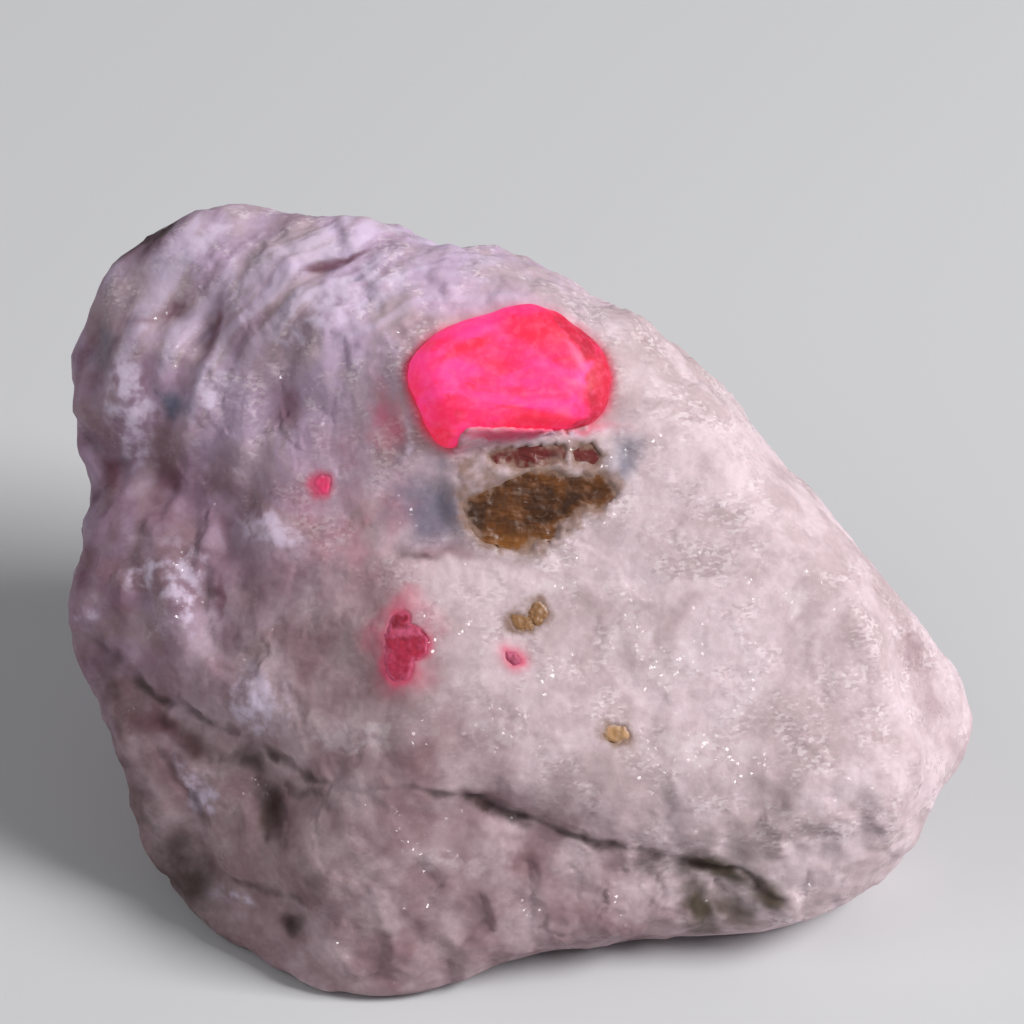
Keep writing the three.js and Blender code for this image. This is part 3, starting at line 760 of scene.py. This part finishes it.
def spot_at(spots, point, waver_by=1):
    """The strongest of some spots at a point, from 0 to 1, with wavering edges."""
    waver = (noise.noise_vector(point / 2.3) * 0.9 + noise.noise_vector(point / 0.8) * 0.35) * waver_by
    here = Vector((point.x + waver.x, point.y + waver.y))
    most = 0
    for x, y, wide, high, turn, strength in spots:
        if abs(here.x - x) + abs(here.y - y) < 2.5 * (wide + high):
            off = turned_away(here, x, y, wide, high, turn)
            most = max(most, strength * (1 - ease(off, 0, SPOT_EDGE)))
    return most

def shine_at(point, mineral, reach):
    """How near a mineral a point of the marble is, from 0 to 1: for the mica, how much of its brown shows
    through; for a ruby, how much of its painted glow the point gets.
    """
    near = 0
    for name, tree in crystal_trees.items():
        if name.startswith(mineral):
            away = tree.find_nearest(point, 4 * reach)[3]
            if away is not None:
                near = max(near, math.exp(-away / reach))
    return near

layers = {kind: marble.verts.layers.float.new(kind) for kind in [*SPOTS, "veil", "streak"]}
for vert in marble.verts:
    place = vert.co
    on_face = ease(place.z, *SIDES)
    # painted shade, darker towards the lower left of the face and over the back
    lower_left_painted_shade = PAINTED_SHADE_LOWER_LEFT * ease(-place.x - place.y, -2, 16)
    even = BACK_DIM + (lower_left_painted_shade - BACK_DIM) * ease(place.z, -8, 4)
    vert[layers["painted_shade"]] = even
    vert[layers["streak"]] = 0.5 + 0.5 * banded(place) * streaks(place)
    if on_face == 0:
        continue
    for kind, spots in SPOTS.items():
        vert[layers[kind]] = on_face * spot_at(spots, place)
    vert[layers["painted_shade"]] = max(vert[layers["painted_shade"]], even)
    # dirt and painted shade in the cracks
    vert[layers["dirt_and_painted_shade"]] = max(vert[layers["dirt_and_painted_shade"]], crack_at(place, 0.5))
    # painted glow round the rubies
    vert[layers["glow"]] = max(vert[layers["glow"]], 0.8 * shine_at(place, "ruby", HALO))
    vert[layers["veil"]] = shine_at(place, "mica", VEIL) * (1 - vert[layers["glow"]])
print("patches:", {kind: len(spots) for kind, spots in SPOTS.items()})

# %% [markdown]
# ## Small helpers for materials
#
# Every finish here is a pattern on Object coordinates, turned into the face's own frame by a Mapping node.
# So a noise of size 2 has lumps of 2 mm. These helpers keep each material short enough to read.

# %% Small helpers for materials
def linear(red, green, blue):
    """A colour picked on a screen, from 0 to 255, as light."""
    def channel(value):
        value /= 255
        return value / 12.92 if value <= 0.04045 else ((value + 0.055) / 1.055) ** 2.4
    return (channel(red), channel(green), channel(blue), 1)

class Finish:
    """A node material, with one line for each step of its pattern."""

    def __init__(self, name):
        self.material = bpy.data.materials.new(name)
        self.material.use_nodes = True
        self.nodes = self.material.node_tree.nodes
        self.links = self.material.node_tree.links
        self.shader = self.nodes["Principled BSDF"]
        self.place = self.node(
            "Mapping", "Vector", Vector=self.node("TexCoord", "Object"), Location=FACE_MIDDLE,
            Rotation=(math.pi / 2 - FACE_RISE, 0, 0), Scale=(MM, MM, MM),
        )
        self.place.node.vector_type = "TEXTURE"

    def put(self, value, socket):
        """Links a pattern to a socket, or sets a plain value on it."""
        if isinstance(value, bpy.types.NodeSocket):
            self.links.new(value, socket)
        else:
            socket.default_value = value

    def fill(self, node, values):
        """Fills a node's sockets by their names, with _ for a space."""
        for name, value in values.items():
            self.put(value, node.inputs[name.replace("_", " ")])

    def set(self, **values):
        """Fills the shader's own sockets."""
        self.fill(self.shader, values)

    def node(self, kind, output, **values):
        """Adds a node of a kind, fills its sockets and gives one of its outputs."""
        node = self.nodes.new("ShaderNode" + kind)
        self.fill(node, values)
        return node.outputs[output]

    def reckon(self, kind, operation, *values):
        """Adds a node that reckons with some values, in order."""
        node = self.nodes.new("ShaderNode" + kind)
        node.operation = operation
        for value, socket in zip(values, node.inputs):
            self.put(value, socket)
        return node.outputs[0]

    def math(self, operation, first, second):
        return self.reckon("Math", operation, first, second)

    def stretched(self, turn, scale):
        """The place, turned about the face's normal and scaled."""
        turned = (0, 0, math.radians(turn))
        return self.node("Mapping", "Vector", Vector=self.place, Rotation=turned, Scale=scale)

    def noise(self, size, detail=4, place=None, warp=0):
        """Cloudy noise with lumps of a size in millimetres, from 0 to 1."""
        place = place or self.place
        return self.node("TexNoise", "Fac", Vector=place, Scale=1 / size, Detail=detail, Distortion=warp)

    def cells(self, size, place=None):
        """A patchwork of grains of a size in millimetres, each with a colour of its own."""
        return self.node("TexVoronoi", "Color", Vector=place or self.place, Scale=1 / size)

    def attribute(self, name):
        node = self.nodes.new("ShaderNodeAttribute")
        node.attribute_name = name
        return node.outputs["Fac"]

    def ramp(self, value, low, high, least=0, most=1):
        """Spreads the part of a pattern between low and high over least to most."""
        spread = self.node(
            "MapRange", "Result", Value=value, From_Min=low, From_Max=high, To_Min=least, To_Max=most
        )
        spread.node.interpolation_type = "SMOOTHSTEP"
        return spread

    def grey(self, colour):
        """How light a colour is."""
        return self.node("RGBToBW", "Val", Color=colour)

    def face_position(self, axis):
        """How far along X or Y of the face a place is, in millimetres."""
        return self.node("SeparateXYZ", axis, Vector=self.place)

    def tilted(self, tint, amount):
        """The surface's normal, tilted a way that depends on a grain's own tint."""
        slant = self.reckon("VectorMath", "MULTIPLY_ADD", tint, [amount] * 3, [-amount / 2] * 3)
        tilted = self.reckon("VectorMath", "ADD", slant, self.node("NewGeometry", "Normal"))
        return self.reckon("VectorMath", "NORMALIZE", tilted)

    def mix(self, share, first, second):
        """Blends two colours by a share."""
        node = self.nodes.new("ShaderNodeMix")
        node.data_type = "RGBA"
        self.put(share, node.inputs[0])
        self.put(first, node.inputs[6])
        self.put(second, node.inputs[7])
        return node.outputs[2]

    def bump(self, height, strength, distance, **normal):
        """Fine relief, with its full height in metres, over the plain normal or another one."""
        relief = self.node("Bump", "Normal", Height=height, Strength=strength, Distance=distance, **normal)
        self.set(Normal=relief)

print("mid grey as light:", [round(value, 3) for value in linear(128, 128, 128)])

# %% [markdown]
# ## The marble's finish
#
# Calcite is colourless in the grain, and light sinks into it and comes back soft. Subsurface scattering does
# that. The colour runs from a warm pinkish white on the fresh break to a lilac grey on the worn left, with
# grains of their own tone. Each grain also has a cleavage face of its own slant: a clear coat whose normal
# is tilted grain by grain makes a few of them flash, as sugar does.

# %% The marble's finish
PINK_WHITE = linear(224, 202, 208)
LILAC_WHITE = linear(198, 172, 199)
CLEAR_GREY = linear(188, 165, 167)
GLINT_TILT = 1.1  # how far the flashing faces lean, as a share of the normal
FACET_TILT = 0.1

stone = Finish("pinkish white marble")
to_upper_left = stone.math("SUBTRACT", stone.face_position("Y"), stone.face_position("X"))
lilac = stone.ramp(stone.math("ADD", to_upper_left, stone.noise(6, 2)), 8, 28)
colour = stone.mix(lilac, PINK_WHITE, LILAC_WHITE)
cloud = stone.ramp(stone.noise(5, 5, warp=0.8), 0.4, 0.62, 0, 0.7)
colour = stone.mix(cloud, colour, CLEAR_GREY)
flake_places = stone.ramp(stone.noise(2.6, 4, warp=0.6), 0.44, 0.64, 0, 0.5)
flake_tone = stone.grey(stone.cells(0.3, stone.stretched(35, (1, 1.6, 1))))
flake_places = stone.math("MULTIPLY", flake_places, stone.ramp(stone.attribute("painted_shade"), 0.25, 0.6, 1, 0.3))
pale_flakes = stone.math("MULTIPLY", stone.ramp(flake_tone, 0.52, 0.8), flake_places)
colour = stone.mix(pale_flakes, colour, linear(244, 230, 234))
clear_flakes = stone.math("MULTIPLY", stone.ramp(flake_tone, 0.42, 0.25), flake_places)
colour = stone.mix(stone.math("MULTIPLY", clear_flakes, 0.5), colour, linear(150, 128, 132))
grain_tone = stone.grey(stone.cells(0.7))
colour = stone.mix(stone.ramp(grain_tone, 0.2, 0.8, 0, 0.06), colour, linear(120, 100, 108))
sugar = stone.ramp(stone.noise(0.5, 3), 0.35, 0.65, 0, 0.14)
colour = stone.mix(sugar, colour, linear(140, 116, 122))

def patch(kind, size, most, raggedness):
    """An attribute's patches, with their edges broken up by noise."""
    weight = stone.attribute(kind)
    ragged = stone.ramp(stone.noise(size, 3), 0.3, 0.7, -raggedness, raggedness)
    ragged = stone.math("MULTIPLY", ragged, stone.ramp(weight, 0, 0.4))
    return stone.ramp(stone.math("ADD", weight, ragged), 0, 1, 0, most)

PATCH_LOOKS = [
    # kind, size of its ragged edge, most, raggedness, colour
    # painted shade
    ["painted_shade", 3, 0.9, 0.14, linear(98, 46, 60)],
    ["glassy", 2, 0.85, 0.1, linear(90, 96, 116)],
    # chalky calcite, and painted highlights
    ["chalk_and_painted_highlight", 0.9, 0.85, 0.35, linear(224, 206, 228)],
    ["sugary", 0.8, 0.25, 0.6, linear(240, 228, 232)],
    ["veil", 0.9, 0.9, 0.25, linear(138, 108, 92)],
    # painted glow of the rubies
    ["glow", 2.4, 0.9, 0.12, linear(222, 62, 106)],
    ["stain", 2.2, 0.95, 0.14, linear(74, 62, 44)],
    # dirt and painted shade
    ["dirt_and_painted_shade", 1.8, 0.9, 0.15, linear(58, 38, 34)],
]
streak_dark = stone.ramp(stone.attribute("streak"), 0.48, 0.28, 0, 0.5)
streak_pale = stone.ramp(stone.attribute("streak"), 0.52, 0.76, 0, 0.55)
colour = stone.mix(streak_dark, colour, linear(140, 112, 132))
colour = stone.mix(streak_pale, colour, linear(220, 202, 228))
for kind, size, most, raggedness, tint in PATCH_LOOKS:
    colour = stone.mix(patch(kind, size, most, raggedness), colour, tint)

glint_grains = stone.cells(0.17)
glint_places = stone.ramp(stone.noise(4, 4), 0.54, 0.66)
glint_places = stone.math("MAXIMUM", glint_places, stone.attribute("sugary"))
glints = stone.math("MULTIPLY", stone.ramp(stone.grey(glint_grains), 0.55, 0.7, 0, 0.9), glint_places)
stone.set(
    Base_Color=colour,
    Roughness=stone.ramp(grain_tone, 0.15, 0.5, 0.5, 0.7),
    IOR=1.5,
    Specular_IOR_Level=0.3,
    Subsurface_Weight=0.2,
    Subsurface_Scale=0.001,
    Subsurface_Radius=(1.0, 0.7, 0.75),
    Coat_Weight=glints,
    Coat_Roughness=0.15,
    Coat_Normal=stone.tilted(glint_grains, GLINT_TILT),
)
stone.bump(stone.noise(0.5, 3), 0.35, 0.0001, Normal=stone.tilted(stone.cells(1), FACET_TILT))
marble_piece = finished_piece("marble", marble, "marble_matrix")
marble_piece.data.materials.append(stone.material)

# %% [markdown]
# ## The ruby's finish
#
# Under a lamp with some ultraviolet in it a ruby lights up from inside: its red glow is nearly as bright as
# the light on it. So its material is part glass, part a cloudy body, and a little emission carries the glow.
# The side plane on the right glows less, and flaws inside it show as paler streaks. A paler painted sheen
# also lies along the ridge on the right and on one facet. They have places of their own, so they're kept at
# the vertices as the marble's patches are.

# %% The ruby's finish
RUBY_SPOTS = {
    "deep": [
        [5.2, 13.6, 1.1, 3.2, -6, 0.9], [3.5, 16.9, 2.1, 0.6, -40, 0.9], [4.6, 14, 0.6, 0.6, 0, 1],
        [4.3, 11.5, 1.5, 0.4, 20, 0.8], [5.2, 12.2, 0.6, 0.8, 0, 1], [4.2, 15.6, 0.7, 0.8, 30, 0.9],
    ],
    "red": [
        [1, 17.2, 2.4, 1.1, 0, 0.9], [1, 11.4, 3.4, 0.5, 3, 0.9], [-5, 10.6, 1, 1, 0, 0.8],
        [-3.2, 16, 2.8, 0.45, 25, 0.7], [-6.6, 13.4, 0.5, 1.6, 0, 0.5], [-1, 14.9, 1.6, 0.8, 20, 0.4],
    ],
    # paler inner flaws, and a painted sheen along the right ridge and on one facet
    "pale": [
        [3.5, 15.4, 0.2, 1.4, 27, 0.9], [2.6, 12, 0.6, 0.45, 5, 0.8], [1.4, 13.1, 1.9, 0.16, 8, 0.6],
        [3.2, 13.9, 1, 0.2, -30, 0.6], [-0.4, 12.2, 2.2, 0.16, 12, 0.5], [0.2, 16, 1.8, 0.16, 14, 0.4],
    ],
}
ruby_layers = {kind: ruby.verts.layers.float.new(kind) for kind in RUBY_SPOTS}
for vert in ruby.verts:
    for kind, spots in RUBY_SPOTS.items():
        vert[ruby_layers[kind]] = spot_at(spots, vert.co, 0.35)

def ruby_finish(name, glow, pink, red, roughness, dusty):
    gem = Finish(name)
    lengthwise = gem.stretched(-12, (0.5, 1, 0.7))
    veils = gem.ramp(gem.noise(1.8, 5, place=lengthwise, warp=0.6), 0.38, 0.64)
    body = gem.mix(veils, pink, red)
    body = gem.mix(gem.ramp(gem.attribute("red"), 0, 0.8, 0, 0.9), body, linear(240, 30, 66))
    deep = gem.ramp(gem.attribute("deep"), 0.15, 0.65)
    blotches = gem.math("MULTIPLY", gem.ramp(gem.noise(1.9, 2), 0.36, 0.7, 0, 0.65), deep)
    body = gem.mix(deep, body, linear(194, 16, 54))
    body = gem.mix(blotches, body, linear(156, 10, 44))
    # paler flaws, and painted sheen
    body = gem.mix(gem.ramp(gem.attribute("pale"), 0, 1, 0, 0.55), body, linear(255, 112, 150))
    flaws = gem.ramp(gem.noise(0.9, 5, place=lengthwise, warp=1), 0.56, 0.72, 0, 0.6)
    body = gem.mix(flaws, body, linear(196, 24, 60))
    dust = gem.ramp(gem.noise(0.5, 6), 0.42, 0.7, 0, dusty)
    body = gem.mix(dust, body, linear(255, 120, 168))
    rim = gem.math("ADD", gem.attribute("rim"), gem.ramp(gem.noise(0.4, 4), 0.3, 0.7, -0.3, 0.3))
    body = gem.mix(gem.ramp(rim, 0.1, 1, 0, 0.85), body, linear(214, 92, 128))
    gem.set(
        Base_Color=body,
        Roughness=gem.ramp(gem.noise(1.2, 3), 0.35, 0.65, roughness, roughness + 0.2),
        IOR=1.77,
        Specular_IOR_Level=0.2,
        Transmission_Weight=0.2,
        Subsurface_Weight=0.3,
        Subsurface_Scale=0.002,
        Subsurface_Radius=(1.0, 0.3, 0.4),
        Emission_Color=body,
        Emission_Strength=glow,
    )
    gem.bump(gem.noise(0.8, 4), 0.4, 0.00005)
    return gem.material

ruby_piece = finished_piece("ruby", ruby, "ruby_crystal")
ruby_piece.data.materials.append(ruby_finish(
    "glowing ruby", glow=0.4, pink=linear(255, 58, 140), red=linear(250, 40, 98), roughness=0.5, dusty=0.16
))

# %% [markdown]
# ## The mica's finish
#
# Thick mica is nearly black-brown, and its thin edges let amber light through. The leaves nearest the ruby
# are painted dark red, a painted glow from the ruby. Calcite has crept between the leaves as pale veins, and
# lies over them as a film at the windows' edges. How far inside a window a place is goes to the material as
# an attribute.

# %% The mica's finish
FILM_WIDTH = 0.6  # how far in from a window's edge the film of calcite reaches

rim = mica.verts.layers.float.new("rim")
for vert in mica.verts:
    vert[rim] = 1 - ease(window_at(MICA_WINDOWS, vert.co), -0.1, FILM_WIDTH)

def mica_finish(name, brown, amber, bottom, top, vein, over):
    sheets = Finish(name)
    leaves = sheets.noise(0.5, 5, place=sheets.stretched(6, (0.4, 1, 0.6)), warp=0.5)
    clouds = sheets.ramp(sheets.noise(1.8, 5, warp=0.6), 0.36, 0.66)
    tone = sheets.mix(clouds, brown, amber)
    tone = sheets.mix(sheets.ramp(leaves, 0.55, 0.3, 0, 0.45), tone, linear(50, 26, 14))
    upwards = sheets.face_position("Y")
    low = sheets.math("ADD", upwards, sheets.ramp(clouds, 0, 1, -0.3, 0.3))
    tone = sheets.mix(sheets.ramp(low, 4.8, 3.4, 0, 0.6), tone, bottom)
    # the top colour: on the book this is the ruby's glow, painted on the leaves nearest it
    tone = sheets.mix(sheets.ramp(upwards, 8.2, 8.7, 0, 0.85), tone, top)
    veins = sheets.ramp(sheets.noise(0.9, 6, warp=1.2), 0.6, 0.74, 0, vein)
    tone = sheets.mix(veins, tone, linear(170, 144, 132))
    film = sheets.ramp(sheets.noise(1.3, 5, warp=0.8), 0.35, 0.65, -0.7, 0.4)
    film = sheets.ramp(sheets.math("ADD", sheets.attribute("rim"), film), 0.1, 1.1, 0, 0.8)
    tone = sheets.mix(film, tone, over)
    sheets.set(
        Base_Color=tone,
        Roughness=sheets.ramp(leaves, 0.3, 0.7, 0.35, 0.6),
        IOR=1.6,
        Specular_IOR_Level=0.35,
    )
    sheets.bump(leaves, 0.3, 0.00006)
    return sheets.material

mica_piece = finished_piece("mica", mica, "mica_book")
mica_piece.data.materials.append(mica_finish(
    "brown mica book",
    brown=linear(62, 32, 10),
    amber=linear(112, 64, 24),
    bottom=linear(160, 100, 40),
    # the ruby's glow, painted on the leaves nearest it
    top=linear(104, 30, 34),
    vein=0.55,
    over=linear(150, 120, 106),
))

# %% [markdown]
# ## The grains' finish
#
# The small rubies glow less than the crystal, for there is less of them to glow, and those deeper in the
# calcite look dark or pale. The mica flakes are thin enough to be amber right through, and fade into the
# calcite at their rims. How near its rim a place is goes to the material as an attribute again.

# %% The grains' finish
RIM_WIDTH = 0.45  # how far in from its rim a grain fades into the calcite

amber = linear(152, 110, 72)
pale_amber = linear(192, 150, 108)
thin_calcite = linear(190, 164, 156)
grain_looks = {
    "ruby_grain_left": ruby_finish(
        "bright ruby grain", 0.24, linear(246, 66, 118), linear(224, 44, 90), 0.6, 0.3
    ),
    "ruby_grain_cluster": ruby_finish(
        "dark ruby grain", 0.1, linear(186, 36, 70), linear(140, 18, 44), 0.6, 0.2
    ),
    "ruby_grain_centre": ruby_finish(
        "pale ruby grain", 0.05, linear(168, 70, 96), linear(150, 48, 74), 0.6, 0.2
    ),
    "mica_grain_upper": mica_finish(
        "amber mica", linear(122, 82, 46), amber, amber, amber, 0.8, thin_calcite
    ),
    "mica_grain_lower": mica_finish(
        "pale mica", linear(164, 118, 76), pale_amber, pale_amber, amber, 0.9, thin_calcite
    ),
}
NECK = [[-7.2, -1.8, 1.3, 0.4, 0, 1]]  # the pale neck between two grains of the cluster
for node, look in grain_looks.items():
    grain = crystal_forms[node]
    rim = grain.verts.layers.float.new("rim")
    for vert in grain.verts:
        found = over_and_under(crystal_trees[node], vert.co)
        by_rim = 1 - ease(found[2], 0, RIM_WIDTH) if found else 1
        vert[rim] = max(by_rim, spot_at(NECK, vert.co, 0.3))
    piece = finished_piece(node.replace("grain", "speck"), grain, node)
    piece.data.materials.append(look)

# %% [markdown]
# ## Floor and light
#
# The specimen stands on a plain pale floor, under soft studio light: a broad lamp high on the right gives
# the form, and a weaker one on the left and the pale surroundings fill the shadows.

# %% Floor and light
FLOOR_SIZE = 6
PAPER = linear(206, 206, 208)
SKY = linear(226, 228, 232)
SKY_STRENGTH = 0.24

ground = bmesh.new()
bmesh.ops.create_grid(ground, x_segments=1, y_segments=1, size=FLOOR_SIZE)
floor = placed_mesh("floor", ground)
paper = bpy.data.materials.new("pale paper")
paper.use_nodes = True
paper_shader = paper.node_tree.nodes["Principled BSDF"]
paper_shader.inputs["Base Color"].default_value = PAPER
paper_shader.inputs["Roughness"].default_value = 0.9
floor.data.materials.append(paper)
floor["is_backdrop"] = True

def soft_lamp(name, place, width, power):
    """A square lamp that faces the specimen, with its place in the face's frame."""
    data = bpy.data.lights.new(name, "AREA")
    data.size = width
    data.energy = power
    lamp = placed(name, data)
    lamp.location = to_standing @ Vector(place)
    lamp.rotation_euler = (FACE_MIDDLE - lamp.location).to_track_quat("-Z", "Y").to_euler()
    print(name, [round(value, 2) for value in lamp.location])

soft_lamp("key lamp", (600, 330, 480), width=0.35, power=7.6)
soft_lamp("fill lamp", (-600, 300, 600), width=0.6, power=1.5)

world = bpy.data.worlds.new("studio")
world.use_nodes = True
sky = world.node_tree.nodes["Background"]
sky.inputs["Color"].default_value = SKY
sky.inputs["Strength"].default_value = SKY_STRENGTH
bpy.context.scene.world = world
bpy.context.scene.view_settings.view_transform = "Standard"

# %% [markdown]
# ## Last measures
#
# The dressed specimen has to keep the size of its solids, so both boxes are written down side by side.

# %% Last measures
look_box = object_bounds()
boxes = {"solids": solid_box, "look": look_box}
for name, (low, high) in boxes.items():
    print(name, [round(value / MM, 2) for value in (*low, *high)])
